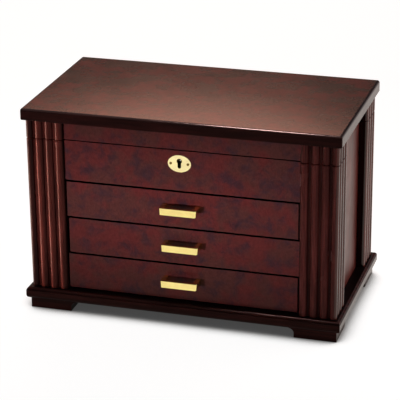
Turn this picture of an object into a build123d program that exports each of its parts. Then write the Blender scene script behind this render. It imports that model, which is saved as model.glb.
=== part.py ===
"""Locking jewellery box with a hinged lid and three drawers, in millimetres.

X runs to the right, Y from the front to the back and Z up. The origin is under the middle of the
whole box, on the surface that its feet stand on.
"""
from build123d import *
import os

# Case, over the crowns of the corner reeds
CASE_WIDTH = 360.0
CASE_DEPTH = 195.0

# Heights from the floor up
FOOT_HEIGHT = 12.0
BASE_THICKNESS = 14.0
LEDGE_GAP = 1.0
DRAWER_HEIGHT = 42.5
DRAWER_GAP = 1.6
FRONT_PANEL_HEIGHT = 47.9
SEAM_GAP = 0.5
APRON_HEIGHT = 22.3
BOARD_THICKNESS = 13.5

# Top board of the lid
BOARD_SIDE_OVERHANG = 3.8
BOARD_FRONT_OVERHANG = 4.8
BOARD_REAR_OVERHANG = 5.0
BOARD_TOP_ROUND = 3.0
BOARD_UNDER_ROUND = 1.0
BOARD_CORNER_ROUND = 2.5

# Base board: a nose rounded above and below, with a fine groove that marks off a bead at its top
BASE_SIDE_OVERHANG = 5.5
BASE_END_OVERHANG = 6.5
NOSE_TOP_ROUND = 4.2
NOSE_UNDER_ROUND = 4.4
BEAD_HEIGHT = 2.6
QUIRK_HEIGHT = 0.8
QUIRK_DEPTH = 1.3

# Bracket feet, with a cove and a thin lip at each inner end
FOOT_FRONT_LENGTH = 55.0
FOOT_SIDE_LENGTH = 50.0
FOOT_THICKNESS = 24.0
FOOT_COVE = 6.0
FOOT_LIP = 1.0

# Reeded corner pillars
REED_COUNT = 3
REED_WIDTH = 9.5
REED_SPACING = 2.3
REED_RISE = 3.3
CORNER_BEAD_RADIUS = 4.0
PILLAR_EASE = 0.7

# Panels and walls
FACE_RECESS = 6.0
FRONT_PANEL_THICKNESS = 14.0
APRON_THICKNESS = 12.0
SIDE_RECESS = 10.0
SIDE_THICKNESS = 6.0
BACK_THICKNESS = 10.0
GUIDE_THICKNESS = 6.0
RIM_RAIL_HEIGHT = 6.0
FLOOR_THICKNESS = 3.0
PANEL_EASE = 0.6

# Drawers, numbered from the top, each a little off the middle in its opening
DRAWER_SHIFTS = (-0.5, 1.0, -0.6)
DIVIDERS_IN_DRAWER = (2, 1, 0)
DRAWER_SIDE_GAP = 1.5
DRAWER_FRONT_THICKNESS = 12.0
DRAWER_BOX_GAP = 1.9
DRAWER_WALL = 6.0
DRAWER_BOTTOM = 3.0
DRAWER_BOTTOM_RISE = 1.5
DRAWER_GROOVE = 2.5
DRAWER_BOX_RISE = 5.0
DRAWER_BOX_DROP = 4.5
DRAWER_BACK_GAP = 3.0
RUNNER_WIDTH = 8.0
RUNNER_THICKNESS = 4.0
RUNNING_GAP = 0.2
RUNNER_SETBACK = 1.0

# Velvet linings and dividers
LINING = 1.5
LINING_REVEAL = 3.0
DRAWER_DIVIDER_HEIGHT = 22.0
DIVIDER_THICKNESS = 4.0
TRAY_DIVIDER_HEIGHT = 31.0
RING_BAY_WIDTH = 88.0
TRAY_CROSS_SETBACK = 78.0
TRAY_SPLIT_WIDTH = 91.0
RING_ROLL_COUNT = 10
RING_ROLL_GAP = 0.8
RING_ROLL_HEIGHT = 20.0
RING_ROLL_END_GAP = 0.5

# Drawer pulls
PULL_WIDTH = 43.2
PULL_HEIGHT = 7.7
PULL_PROJECTION = 17.0
PULL_BAR = 4.0
PULL_LEG = 5.0
PULL_RISE = 2.8
PULL_SHIFT = 1.2
PULL_PLAN_ROUND = 2.6
PULL_INNER_ROUND = 1.4
PULL_LOWER_ROUND = 2.2
PULL_SCREW_RADIUS = 1.5
PULL_SCREW_HEAD_RADIUS = 3.0
PULL_SCREW_HEAD = 2.0
PULL_SCREW_GRIP = 7.0
COUNTERBORE_GAP = 0.2

# Escutcheon and keyhole, with its middle a little left of the case's
ESCUTCHEON_SHIFT = -0.8
ESCUTCHEON_DROP = 15.3
ESCUTCHEON_HALF_WIDTH = 13.5
ESCUTCHEON_HALF_HEIGHT = 10.2
ESCUTCHEON_THICKNESS = 1.2
KEYHOLE_RADIUS = 3.0
KEYHOLE_RISE = 2.9
KEYHOLE_SLOT_WIDTH = 4.0
KEYHOLE_SLOT_DROP = 8.4
ESCUTCHEON_PIN_SPACING = 19.8
ESCUTCHEON_PIN_RADIUS = 0.6
ESCUTCHEON_PIN_HEAD_RADIUS = 1.5
ESCUTCHEON_PIN_HEAD = 0.6
ESCUTCHEON_PIN_LENGTH = 5.0

# Box lock: case, sliding bolt with two fingers, and staples under the lid
LOCK_HALF_WIDTH = 25.0
LOCK_HEIGHT = 26.0
LOCK_DEPTH = 9.4
LOCK_WALL = 1.2
DRILL_PIN_RADIUS = 1.1
DRILL_PIN_SETBACK = 0.3
STAPLE_SPACING = 18.0
STAPLE_THICKNESS = 2.0
STAPLE_WIDTH = 4.8
STAPLE_LENGTH = 7.5
STAPLE_SIDE_GAP = 0.8
STAPLE_EDGE = 1.0
STAPLE_WINDOW_GAP = 0.4
BOLT_TRAVEL = 5.0
BOLT_FINGER = 2.0
BOLT_FINGER_SPARE = 1.0
BOLT_TIP_GAP = 0.8
BOLT_ARM = 3.0
BOLT_BAR_HEIGHT = 2.4
BOLT_REST_GAP = 0.4
BOLT_PLAY = 0.15
LINK_PLATE_THICKNESS = 1.4
LINK_PLATE_HALF_WIDTH = 22.0
LINK_PLATE_DEPTH = 8.0

# Butt hinges in the rear seam
HINGE_INSET = 46.6
HINGE_LENGTH = 40.0
HINGE_LEAF_DEPTH = 8.5
HINGE_LEAF = 1.0
HINGE_AXIS_OUT = 2.6
KNUCKLE_RADIUS = 2.2
KNUCKLE_GAP = 0.4
HINGE_PIN_RADIUS = 1.0
HINGE_PIN_GAP = 0.05
HINGE_PIN_HEAD = 0.8
HINGE_PIN_HEAD_RADIUS = 1.6

# Countersunk screws of the hinges and the link plate
SCREW_SPACING = 24.0
SCREW_HEAD_RADIUS = 1.9
SCREW_RADIUS = 1.0
SCREW_LENGTH = 8.0

# Mirror under the lid
MIRROR_MARGIN = 8.0
MIRROR_THICKNESS = 3.0
MIRROR_LIP = 3.0
MIRROR_FRAME_WIDTH = 12.0
MIRROR_FRAME_THICKNESS = 6.0

# Levels worked out from the sizes above
drawer_count = len(DRAWER_SHIFTS)
base_top = FOOT_HEIGHT + BASE_THICKNESS
drawer_pitch = DRAWER_HEIGHT + DRAWER_GAP
front_panel_bottom = base_top + LEDGE_GAP + drawer_count * drawer_pitch
case_top = front_panel_bottom + FRONT_PANEL_HEIGHT
lid_bottom = case_top + SEAM_GAP
board_bottom = lid_bottom + APRON_HEIGHT

# Planes worked out from the sizes above
half_width = CASE_WIDTH / 2
half_depth = CASE_DEPTH / 2
pillar_width = 2 * CORNER_BEAD_RADIUS + REED_COUNT * (REED_WIDTH + REED_SPACING)
inner_x = half_width - pillar_width
inner_y = half_depth - pillar_width
face_y = -half_depth + FACE_RECESS
side_x = half_width - SIDE_RECESS
back_inner_y = half_depth - BACK_THICKNESS
panel_rear_y = face_y + FRONT_PANEL_THICKNESS
drawer_rear_y = face_y + DRAWER_FRONT_THICKNESS
hinge_x = inner_x - HINGE_INSET
hinge_y = half_depth + HINGE_AXIS_OUT
hinge_z = case_top + SEAM_GAP / 2

# The pulls reach further than the base does behind, and the origin is under the middle of it all
front_reach = max(PULL_PROJECTION - face_y, half_depth + BASE_END_OVERHANG)
rear_reach = max(half_depth + BASE_END_OVERHANG, hinge_y + KNUCKLE_RADIUS)
case_shift_y = (front_reach - rear_reach) / 2


def block(x0, x1, y0, y1, z0, z1):
    """A box between two corners."""
    middle = Pos((x0 + x1) / 2, (y0 + y1) / 2, (z0 + z1) / 2)
    return middle * Box(abs(x1 - x0), abs(y1 - y0), abs(z1 - z0))


def group(*pieces):
    """Separate solids that share one node."""
    return Compound([solid for piece in pieces for solid in piece.solids()])


def shell(x0, x1, y0, y1, z0, z1, thickness):
    """A lining: a thin tray with a floor and four walls, open at the top."""
    inside = block(x0 + thickness, x1 - thickness, y0 + thickness, y1 - thickness, z0 + thickness, z1)
    return block(x0, x1, y0, y1, z0, z1) - inside


def ease_front(piece, radius):
    """Round the four edges round a panel's front face."""
    return fillet(piece.faces().sort_by(Axis.Y)[0].edges(), radius)


def drawer_bottom_z(number):
    """Lowest level of a drawer's front, where 1 is the top drawer."""
    return base_top + LEDGE_GAP + (drawer_count - number) * drawer_pitch


# Base and feet

nose_x = half_width + BASE_SIDE_OVERHANG
nose_y = half_depth + BASE_END_OVERHANG


def base_board():
    board = block(-nose_x, nose_x, -nose_y, nose_y, FOOT_HEIGHT, base_top)
    board = fillet(board.faces().sort_by(Axis.Z)[-1].edges(), NOSE_TOP_ROUND)
    board = fillet(board.faces().sort_by(Axis.Z)[0].edges(), NOSE_UNDER_ROUND)
    groove_top = base_top - BEAD_HEIGHT
    groove_bottom = groove_top - QUIRK_HEIGHT
    groove_x = nose_x - QUIRK_DEPTH
    groove_y = nose_y - QUIRK_DEPTH
    groove = block(-nose_x, nose_x, -nose_y, nose_y, groove_bottom, groove_top)
    return board - (groove - block(-groove_x, groove_x, -groove_y, groove_y, groove_bottom, groove_top))


def foot_leg(length):
    """A leg along X from the outer corner, with a cove and a lip at its inner end."""
    leg = block(0, length, 0, FOOT_THICKNESS, 0, FOOT_HEIGHT)
    cove_z = FOOT_HEIGHT - FOOT_LIP - FOOT_COVE
    cove = Pos(length, FOOT_THICKNESS / 2, cove_z) * Rot(90, 0, 0) * Cylinder(FOOT_COVE, FOOT_THICKNESS)
    return leg - cove - block(length - FOOT_COVE, length, 0, FOOT_THICKNESS, 0, cove_z)


def foot(side, end):
    """L-shaped bracket foot, whose outer faces stand where the round under the nose ends."""
    diagonal = Plane(origin=(0, 0, 0), z_dir=(1, -1, 0))
    bracket = foot_leg(FOOT_FRONT_LENGTH) + mirror(foot_leg(FOOT_SIDE_LENGTH), about=diagonal)
    if side > 0:
        bracket = mirror(bracket, about=Plane.YZ)
    if end > 0:
        bracket = mirror(bracket, about=Plane.XZ)
    return Pos(side * (nose_x - NOSE_UNDER_ROUND), end * (nose_y - NOSE_UNDER_ROUND), 0) * bracket


# Corner pillars

def pillar(side, end, bottom, top, eased_at_top):
    """A length of a reeded pillar, eased where the lid's seam cuts it.

    Front pillars have reeds on both outer faces. Rear ones have them on the side only, and a flat back.
    """
    height = top - bottom

    def post(across, along, primitive):
        place = Pos(side * (half_width - across), end * (half_depth - along), bottom + height / 2)
        piece = place * primitive
        seam = piece.faces().sort_by(Axis.Z)[-1 if eased_at_top else 0]
        return chamfer(seam.edges(), PILLAR_EASE)

    reed_radius = ((REED_WIDTH / 2) ** 2 + REED_RISE ** 2) / (2 * REED_RISE)
    core = pillar_width - REED_RISE
    core_middle = REED_RISE + core / 2
    whole = post(core_middle, core_middle, Box(core, core, height))
    whole += post(CORNER_BEAD_RADIUS, CORNER_BEAD_RADIUS, Cylinder(CORNER_BEAD_RADIUS, height))
    for index in range(REED_COUNT):
        start = 2 * CORNER_BEAD_RADIUS + REED_SPACING + index * (REED_WIDTH + REED_SPACING)
        along = start + REED_WIDTH / 2
        whole += post(reed_radius, along, Cylinder(reed_radius, height))
        if end < 0:
            whole += post(along, reed_radius, Cylinder(reed_radius, height))
    if end > 0:
        flat = pillar_width - CORNER_BEAD_RADIUS
        whole += post(CORNER_BEAD_RADIUS + flat / 2, pillar_width / 2, Box(flat, pillar_width, height))
    return whole & block(side * half_width, side * inner_x, end * half_depth, end * inner_y, bottom, top)


# Fixed panels of the case

def keyhole(y0, y1):
    """The keyhole's outline, as a solid between two planes."""
    centre_z = case_top - ESCUTCHEON_DROP + KEYHOLE_RISE
    depth = y1 - y0
    middle_y = (y0 + y1) / 2
    round_part = Pos(ESCUTCHEON_SHIFT, middle_y, centre_z) * Rot(90, 0, 0) * Cylinder(KEYHOLE_RADIUS, depth)
    slot_end_z = centre_z - KEYHOLE_SLOT_DROP + KEYHOLE_SLOT_WIDTH / 2
    slot_x0 = ESCUTCHEON_SHIFT - KEYHOLE_SLOT_WIDTH / 2
    slot = block(slot_x0, slot_x0 + KEYHOLE_SLOT_WIDTH, y0, y1, slot_end_z, centre_z)
    slot_end = Pos(ESCUTCHEON_SHIFT, middle_y, slot_end_z) * Rot(90, 0, 0)
    return round_part + slot + slot_end * Cylinder(KEYHOLE_SLOT_WIDTH / 2, depth)


def lock_envelope():
    """Outer block of the lock case, flush with the rear and the top of the front panel."""
    x0 = ESCUTCHEON_SHIFT - LOCK_HALF_WIDTH
    x1 = ESCUTCHEON_SHIFT + LOCK_HALF_WIDTH
    return block(x0, x1, panel_rear_y - LOCK_DEPTH, panel_rear_y, case_top - LOCK_HEIGHT, case_top)


def escutcheon_pins():
    """Two small nails with domed heads, left and right of the keyhole."""
    centre_z = case_top - ESCUTCHEON_DROP
    plate_y = face_y - ESCUTCHEON_THICKNESS
    shank = Pos(0, 0, -ESCUTCHEON_PIN_LENGTH / 2) * Cylinder(ESCUTCHEON_PIN_RADIUS, ESCUTCHEON_PIN_LENGTH)
    head = Pos(0, 0, ESCUTCHEON_PIN_HEAD / 2) * Cylinder(ESCUTCHEON_PIN_HEAD_RADIUS, ESCUTCHEON_PIN_HEAD)
    head = fillet(head.edges().sort_by(Axis.Z)[-1], ESCUTCHEON_PIN_HEAD / 2)
    pins = []
    for side in (-1, 1):
        place = Pos(ESCUTCHEON_SHIFT + side * ESCUTCHEON_PIN_SPACING / 2, plate_y, centre_z) * Rot(90, 0, 0)
        pins.append(place * (shank + head))
    return group(*pins)


def front_panel():
    panel = block(-inner_x, inner_x, face_y, panel_rear_y, front_panel_bottom, case_top)
    panel = ease_front(panel, PANEL_EASE)
    return panel - lock_envelope() - keyhole(face_y, panel_rear_y) - escutcheon_pins()


def escutcheon():
    centre = Pos(ESCUTCHEON_SHIFT, face_y, case_top - ESCUTCHEON_DROP)
    outline = Plane.XZ * Ellipse(ESCUTCHEON_HALF_WIDTH, ESCUTCHEON_HALF_HEIGHT)
    plate = centre * extrude(outline, ESCUTCHEON_THICKNESS)
    plate = chamfer(plate.faces().sort_by(Axis.Y)[0].edges(), ESCUTCHEON_THICKNESS / 3)
    return plate - keyhole(face_y - ESCUTCHEON_THICKNESS, face_y) - escutcheon_pins()


def side_panel(side):
    return block(side * (side_x - SIDE_THICKNESS), side * side_x, -inner_y, inner_y, base_top, case_top)


def back_panel():
    panel = block(-inner_x, inner_x, back_inner_y, half_depth, base_top, case_top)
    return panel - hinge_leaves(False) - hinge_screws(False)


def guide_walls():
    """Inner walls between the front and rear pillars, which close the drawer bay at its sides."""
    outer_x = inner_x + GUIDE_THICKNESS
    return group(*[block(side * inner_x, side * outer_x, -inner_y, inner_y, base_top, case_top)
                   for side in (-1, 1)])


def top_rails():
    """Rails that close the rim between the guide walls and the side panels."""
    rail_x0 = inner_x + GUIDE_THICKNESS
    rail_x1 = side_x - SIDE_THICKNESS
    bottom = case_top - RIM_RAIL_HEIGHT
    return group(*[block(side * rail_x0, side * rail_x1, -inner_y, inner_y, bottom, case_top)
                   for side in (-1, 1)])


def drawer_runners():
    """A pair of rails under each drawer box, on the pillars and guide walls."""
    rails = []
    for number in range(1, drawer_count + 1):
        top = drawer_bottom_z(number) + DRAWER_BOX_RISE - RUNNING_GAP
        for side in (-1, 1):
            rails.append(block(side * (inner_x - RUNNER_WIDTH), side * inner_x,
                               drawer_rear_y + RUNNER_SETBACK, back_inner_y, top - RUNNER_THICKNESS, top))
    return group(*rails)


def compartment_floor():
    top = front_panel_bottom + FLOOR_THICKNESS
    return block(-inner_x, inner_x, panel_rear_y, back_inner_y, front_panel_bottom, top)


# Fittings of the top compartment

tray_floor = front_panel_bottom + FLOOR_THICKNESS + LINING
tray_x = inner_x - LINING
tray_y0 = panel_rear_y + LINING
tray_y1 = back_inner_y - LINING
ring_divider_x = -tray_x + RING_BAY_WIDTH
tray_cross_y = tray_y1 - TRAY_CROSS_SETBACK


def tray_lining():
    return shell(-inner_x, inner_x, panel_rear_y, back_inner_y,
                 tray_floor - LINING, case_top - LINING_REVEAL, LINING)


def tray_dividers():
    """One divider beside the ring rolls, one across the rest and one that splits its rear half."""
    top = tray_floor + TRAY_DIVIDER_HEIGHT
    right_of_rings = ring_divider_x + DIVIDER_THICKNESS
    behind_cross = tray_cross_y + DIVIDER_THICKNESS
    split_x = right_of_rings + TRAY_SPLIT_WIDTH
    return group(block(ring_divider_x, right_of_rings, tray_y0, tray_y1, tray_floor, top),
                 block(right_of_rings, tray_x, tray_cross_y, behind_cross, tray_floor, top),
                 block(split_x, split_x + DIVIDER_THICKNESS, behind_cross, tray_y1, tray_floor, top))


def ring_rolls():
    """Soft rolls side by side, each with a rounded top, which hold rings in the slots between them."""
    pitch = (tray_y1 - tray_y0) / RING_ROLL_COUNT
    width = pitch - RING_ROLL_GAP
    straight = RING_ROLL_HEIGHT - width / 2
    x0 = -tray_x + RING_ROLL_END_GAP
    length = RING_BAY_WIDTH - 2 * RING_ROLL_END_GAP
    rolls = []
    for index in range(RING_ROLL_COUNT):
        y = tray_y0 + (index + 0.5) * pitch
        stem = block(x0, x0 + length, y - width / 2, y + width / 2, tray_floor, tray_floor + straight)
        crown = Pos(x0 + length / 2, y, tray_floor + straight) * Rot(0, 90, 0) * Cylinder(width / 2, length)
        rolls.append(stem + crown)
    return group(*rolls)


# Lock

finger_length = BOLT_TRAVEL + BOLT_FINGER_SPARE
staple_xs = [ESCUTCHEON_SHIFT + side * STAPLE_SPACING / 2 for side in (-1, 1)]
lock_middle_y = panel_rear_y - LOCK_DEPTH / 2
staple_tip_z = case_top - STAPLE_LENGTH
finger_z1 = case_top - LOCK_WALL - STAPLE_EDGE
finger_z0 = finger_z1 - BOLT_FINGER
bolt_bar_top = staple_tip_z - BOLT_REST_GAP


def lock_case():
    """Hollow case with slots for the staples in its top plate, a keyhole and a drill pin."""
    x0 = ESCUTCHEON_SHIFT - LOCK_HALF_WIDTH
    x1 = ESCUTCHEON_SHIFT + LOCK_HALF_WIDTH
    front_y = panel_rear_y - LOCK_DEPTH
    bottom = case_top - LOCK_HEIGHT
    case = lock_envelope() - block(x0 + LOCK_WALL, x1 - LOCK_WALL,
                                   front_y + LOCK_WALL, panel_rear_y - LOCK_WALL,
                                   bottom + LOCK_WALL, case_top - LOCK_WALL)
    slot_half = STAPLE_THICKNESS / 2 + STAPLE_SIDE_GAP
    slot_half_y = STAPLE_WIDTH / 2 + STAPLE_SIDE_GAP
    for x in staple_xs:
        case -= block(x - slot_half, x + slot_half, lock_middle_y - slot_half_y, lock_middle_y + slot_half_y,
                      case_top - LOCK_WALL, case_top)
    case -= keyhole(front_y, front_y + LOCK_WALL)
    pin_z = case_top - ESCUTCHEON_DROP + KEYHOLE_RISE
    pin_length = LOCK_DEPTH - 2 * LOCK_WALL - DRILL_PIN_SETBACK
    pin_y = panel_rear_y - LOCK_WALL - pin_length / 2
    return case + Pos(ESCUTCHEON_SHIFT, pin_y, pin_z) * Rot(90, 0, 0) * Cylinder(DRILL_PIN_RADIUS, pin_length)


def lock_bolt():
    """A bar with two arms, whose fingers enter the staples when the bolt slides to the right."""
    finger_y0 = lock_middle_y - BOLT_FINGER / 2
    finger_y1 = lock_middle_y + BOLT_FINGER / 2
    bolt = None
    for x in staple_xs:
        tip_x = x - STAPLE_THICKNESS / 2 - BOLT_TIP_GAP
        root_x = tip_x - finger_length
        finger = block(root_x, tip_x, finger_y0, finger_y1, finger_z0, finger_z1)
        arm = block(root_x - BOLT_ARM, root_x, finger_y0, finger_y1, bolt_bar_top, finger_z1)
        bolt = finger + arm if bolt is None else bolt + finger + arm
    first_x = staple_xs[0] - STAPLE_THICKNESS / 2 - BOLT_TIP_GAP - finger_length - BOLT_ARM
    inset = LOCK_WALL + BOLT_PLAY
    bar = block(first_x, staple_xs[1], panel_rear_y - LOCK_DEPTH + inset, panel_rear_y - inset,
                bolt_bar_top - BOLT_BAR_HEIGHT, bolt_bar_top)
    return bolt + bar


def link_plate():
    """Plate let into the underside of the front apron, with two staples that hang from it."""
    x0 = ESCUTCHEON_SHIFT - LINK_PLATE_HALF_WIDTH
    x1 = ESCUTCHEON_SHIFT + LINK_PLATE_HALF_WIDTH
    y0 = lock_middle_y - LINK_PLATE_DEPTH / 2
    plate = block(x0, x1, y0, y0 + LINK_PLATE_DEPTH, lid_bottom, lid_bottom + LINK_PLATE_THICKNESS)
    window = BOLT_FINGER + 2 * STAPLE_WINDOW_GAP
    for x in staple_xs:
        x_low = x - STAPLE_THICKNESS / 2
        x_high = x + STAPLE_THICKNESS / 2
        middle_z = (finger_z0 + finger_z1) / 2
        plate += block(x_low, x_high, lock_middle_y - STAPLE_WIDTH / 2, lock_middle_y + STAPLE_WIDTH / 2,
                       staple_tip_z, lid_bottom)
        plate -= block(x_low, x_high, lock_middle_y - window / 2, lock_middle_y + window / 2,
                       middle_z - window / 2, middle_z + window / 2)
    return plate


# Hinges and screws

def countersunk_screw():
    """A screw along Z, with its head's top at the origin and its tip below."""
    head_height = SCREW_HEAD_RADIUS - SCREW_RADIUS
    head = Pos(0, 0, -head_height / 2) * Cone(SCREW_RADIUS, SCREW_HEAD_RADIUS, head_height)
    shank_length = SCREW_LENGTH - head_height
    shank = Pos(0, 0, -head_height - shank_length / 2) * Cylinder(SCREW_RADIUS, shank_length)
    return head + shank


def hinge_screws(on_lid):
    """Two screws through each hinge leaf."""
    y = half_depth - HINGE_LEAF_DEPTH / 2
    screws = []
    for side in (-1, 1):
        for end in (-1, 1):
            x = side * hinge_x + end * SCREW_SPACING / 2
            if on_lid:
                screws.append(Pos(x, y, lid_bottom) * Rot(180, 0, 0) * countersunk_screw())
            else:
                screws.append(Pos(x, y, case_top) * countersunk_screw())
    return group(*screws)


def link_plate_screws():
    screws = []
    for side in (-1, 1):
        x = ESCUTCHEON_SHIFT + side * (STAPLE_SPACING / 2 + LINK_PLATE_HALF_WIDTH) / 2
        screws.append(Pos(x, lock_middle_y, lid_bottom) * Rot(180, 0, 0) * countersunk_screw())
    return group(*screws)


def knuckle_spans(on_lid):
    """Where a hinge's knuckles lie: the middle third on the lid, the outer thirds on the case."""
    half = HINGE_LENGTH / 2
    sixth = HINGE_LENGTH / 6
    gap = KNUCKLE_GAP / 2
    if on_lid:
        return [(gap - sixth, sixth - gap)]
    return [(-half, -sixth - gap), (sixth + gap, half)]


def hinge_leaves(on_lid):
    """The leaves let into the case's or the lid's rear edge, with their knuckles round the axis."""
    bottom = lid_bottom if on_lid else case_top - HINGE_LEAF
    leaves = []
    for side in (-1, 1):
        middle_x = side * hinge_x
        leaf = block(middle_x - HINGE_LENGTH / 2, middle_x + HINGE_LENGTH / 2,
                     half_depth - HINGE_LEAF_DEPTH, half_depth, bottom, bottom + HINGE_LEAF)
        for start, stop in knuckle_spans(on_lid):
            neck = block(middle_x + start, middle_x + stop, half_depth, hinge_y, bottom, bottom + HINGE_LEAF)
            barrel = Pos(middle_x + (start + stop) / 2, hinge_y, hinge_z) * Rot(0, 90, 0)
            leaf += neck
            leaf += barrel * Cylinder(KNUCKLE_RADIUS, stop - start)
        bore = Pos(middle_x, hinge_y, hinge_z) * Rot(0, 90, 0)
        leaf -= bore * Cylinder(HINGE_PIN_RADIUS + HINGE_PIN_GAP, HINGE_LENGTH)
        leaves.append(leaf)
    return group(*leaves)


def hinge_leaves_with_holes(on_lid):
    return hinge_leaves(on_lid) - hinge_screws(on_lid)


def hinge_pins():
    """A pin through the knuckles of each hinge, with a low head at both ends."""
    pins = []
    for side in (-1, 1):
        axis = Pos(side * hinge_x, hinge_y, hinge_z) * Rot(0, 90, 0)
        pin = Cylinder(HINGE_PIN_RADIUS, HINGE_LENGTH)
        for end in (-1, 1):
            head = Cylinder(HINGE_PIN_HEAD_RADIUS, HINGE_PIN_HEAD)
            pin += Pos(0, 0, end * (HINGE_LENGTH + HINGE_PIN_HEAD) / 2) * head
        pins.append(axis * pin)
    return group(*pins)


# Lid

def lid_board():
    x = half_width + BOARD_SIDE_OVERHANG
    board = block(-x, x, -half_depth - BOARD_FRONT_OVERHANG, half_depth + BOARD_REAR_OVERHANG,
                  board_bottom, board_bottom + BOARD_THICKNESS)
    board = fillet(board.edges().filter_by(Axis.Z), BOARD_CORNER_ROUND)
    board = fillet(board.faces().sort_by(Axis.Z)[-1].edges(), BOARD_TOP_ROUND)
    return fillet(board.faces().sort_by(Axis.Z)[0].edges(), BOARD_UNDER_ROUND)


def lid_front_apron():
    apron = block(-inner_x, inner_x, face_y, panel_rear_y, lid_bottom, board_bottom)
    apron = ease_front(apron, PANEL_EASE)
    return apron - link_plate() - link_plate_screws()


def lid_rear_apron():
    apron = block(-inner_x, inner_x, back_inner_y, half_depth, lid_bottom, board_bottom)
    return apron - hinge_leaves(True) - hinge_screws(True)


def lid_side_aprons():
    return group(*[block(side * (side_x - APRON_THICKNESS), side * side_x, -inner_y, inner_y,
                         lid_bottom, board_bottom) for side in (-1, 1)])


def mirror_block(inset, bottom):
    """A block under the board, inset from the mirror frame's outer edges."""
    margin = MIRROR_MARGIN + inset
    return block(margin - inner_x, inner_x - margin, panel_rear_y + margin, back_inner_y - margin,
                 bottom, board_bottom)


def lid_mirror():
    return mirror_block(MIRROR_FRAME_WIDTH - MIRROR_LIP, board_bottom - MIRROR_THICKNESS)


def lid_mirror_frame():
    """Frame on the underside of the board, which holds the mirror by a lip."""
    bottom = board_bottom - MIRROR_FRAME_THICKNESS
    return mirror_block(0, bottom) - mirror_block(MIRROR_FRAME_WIDTH, bottom) - lid_mirror()


def lid_screws():
    return group(hinge_screws(True), link_plate_screws())


# Drawers

box_half_width = inner_x - DRAWER_BOX_GAP
box_rear_y = back_inner_y - DRAWER_BACK_GAP


class DrawerSpace:
    """Where one drawer's parts lie: its middle and its levels."""

    def __init__(self, number):
        self.x = DRAWER_SHIFTS[number - 1]
        self.bottom = drawer_bottom_z(number)
        self.top = self.bottom + DRAWER_HEIGHT
        self.box_bottom = self.bottom + DRAWER_BOX_RISE
        self.box_top = self.top - DRAWER_BOX_DROP
        self.panel_bottom = self.box_bottom + DRAWER_BOTTOM_RISE
        self.floor = self.panel_bottom + DRAWER_BOTTOM
        self.inner_half = box_half_width - DRAWER_WALL
        self.pull_x = self.x + PULL_SHIFT
        self.pull_z = (self.bottom + self.top) / 2 + PULL_RISE


def drawer_bottom(space):
    """Thin panel held in grooves of the front, the sides and the back."""
    half = space.inner_half + DRAWER_GROOVE
    return block(space.x - half, space.x + half, drawer_rear_y - DRAWER_GROOVE,
                 box_rear_y - DRAWER_WALL + DRAWER_GROOVE, space.panel_bottom, space.floor)


def drawer_box(space):
    """Two sides and a back."""
    walls = []
    for side in (-1, 1):
        walls.append(block(space.x + side * space.inner_half, space.x + side * box_half_width,
                           drawer_rear_y, box_rear_y, space.box_bottom, space.box_top))
    walls.append(block(space.x - space.inner_half, space.x + space.inner_half,
                       box_rear_y - DRAWER_WALL, box_rear_y, space.box_bottom, space.box_top))
    return group(*[wall - drawer_bottom(space) for wall in walls])


def drawer_lining(space):
    return shell(space.x - space.inner_half, space.x + space.inner_half,
                 drawer_rear_y, box_rear_y - DRAWER_WALL,
                 space.floor, space.box_top - LINING_REVEAL, LINING)


def drawer_dividers(space, count):
    """Padded dividers from front to back, evenly spaced."""
    half = space.inner_half - LINING
    pitch = 2 * half / (count + 1)
    floor = space.floor + LINING
    dividers = []
    for index in range(1, count + 1):
        x = space.x - half + index * pitch
        dividers.append(block(x - DIVIDER_THICKNESS / 2, x + DIVIDER_THICKNESS / 2, drawer_rear_y + LINING,
                              box_rear_y - DRAWER_WALL - LINING, floor, floor + DRAWER_DIVIDER_HEIGHT))
    return group(*dividers)


def pull_screws(space):
    """Two machine screws from inside the drawer front into the legs of the pull."""
    head_y = drawer_rear_y - COUNTERBORE_GAP
    shank_end_y = face_y - PULL_SCREW_GRIP
    screws = []
    for side in (-1, 1):
        x = space.pull_x + side * (PULL_WIDTH - PULL_LEG) / 2
        head = Pos(x, head_y - PULL_SCREW_HEAD / 2, space.pull_z) * Rot(90, 0, 0)
        head = head * Cylinder(PULL_SCREW_HEAD_RADIUS, PULL_SCREW_HEAD)
        shank_length = head_y - shank_end_y
        shank = Pos(x, (head_y + shank_end_y) / 2, space.pull_z) * Rot(90, 0, 0)
        screws.append(head + shank * Cylinder(PULL_SCREW_RADIUS, shank_length))
    return group(*screws)


def drawer_front(space):
    half = inner_x - DRAWER_SIDE_GAP
    front = block(space.x - half, space.x + half, face_y, drawer_rear_y, space.bottom, space.top)
    front = ease_front(front, PANEL_EASE)
    depth = PULL_SCREW_HEAD + COUNTERBORE_GAP
    for side in (-1, 1):
        x = space.pull_x + side * (PULL_WIDTH - PULL_LEG) / 2
        counterbore = Pos(x, drawer_rear_y - depth / 2, space.pull_z) * Rot(90, 0, 0)
        front -= counterbore * Cylinder(PULL_SCREW_HEAD_RADIUS + COUNTERBORE_GAP, depth)
    return front - pull_screws(space) - drawer_bottom(space)


def drawer_pull(space):
    """A flat bar on two legs, with rounded plan corners and rounded lower corners."""
    outer = Rectangle(PULL_WIDTH, PULL_PROJECTION)
    outer = fillet(outer.vertices().group_by(Axis.Y)[0], PULL_PLAN_ROUND)
    gap_depth = PULL_PROJECTION - PULL_BAR
    gap = Rectangle(PULL_WIDTH - 2 * PULL_LEG, gap_depth)
    gap = fillet(gap.vertices().group_by(Axis.Y)[0], PULL_INNER_ROUND)
    plan = outer - Pos(0, PULL_BAR / 2) * gap
    pull = extrude(plan, PULL_HEIGHT / 2, both=True)
    face = Rectangle(PULL_WIDTH, PULL_HEIGHT)
    face = fillet(face.vertices().group_by(Axis.Y)[0], PULL_LOWER_ROUND)
    pull &= extrude(Plane.XZ * face, PULL_PROJECTION, both=True)
    pull = Pos(space.pull_x, face_y - PULL_PROJECTION / 2, space.pull_z) * pull
    return pull - pull_screws(space)


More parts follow.
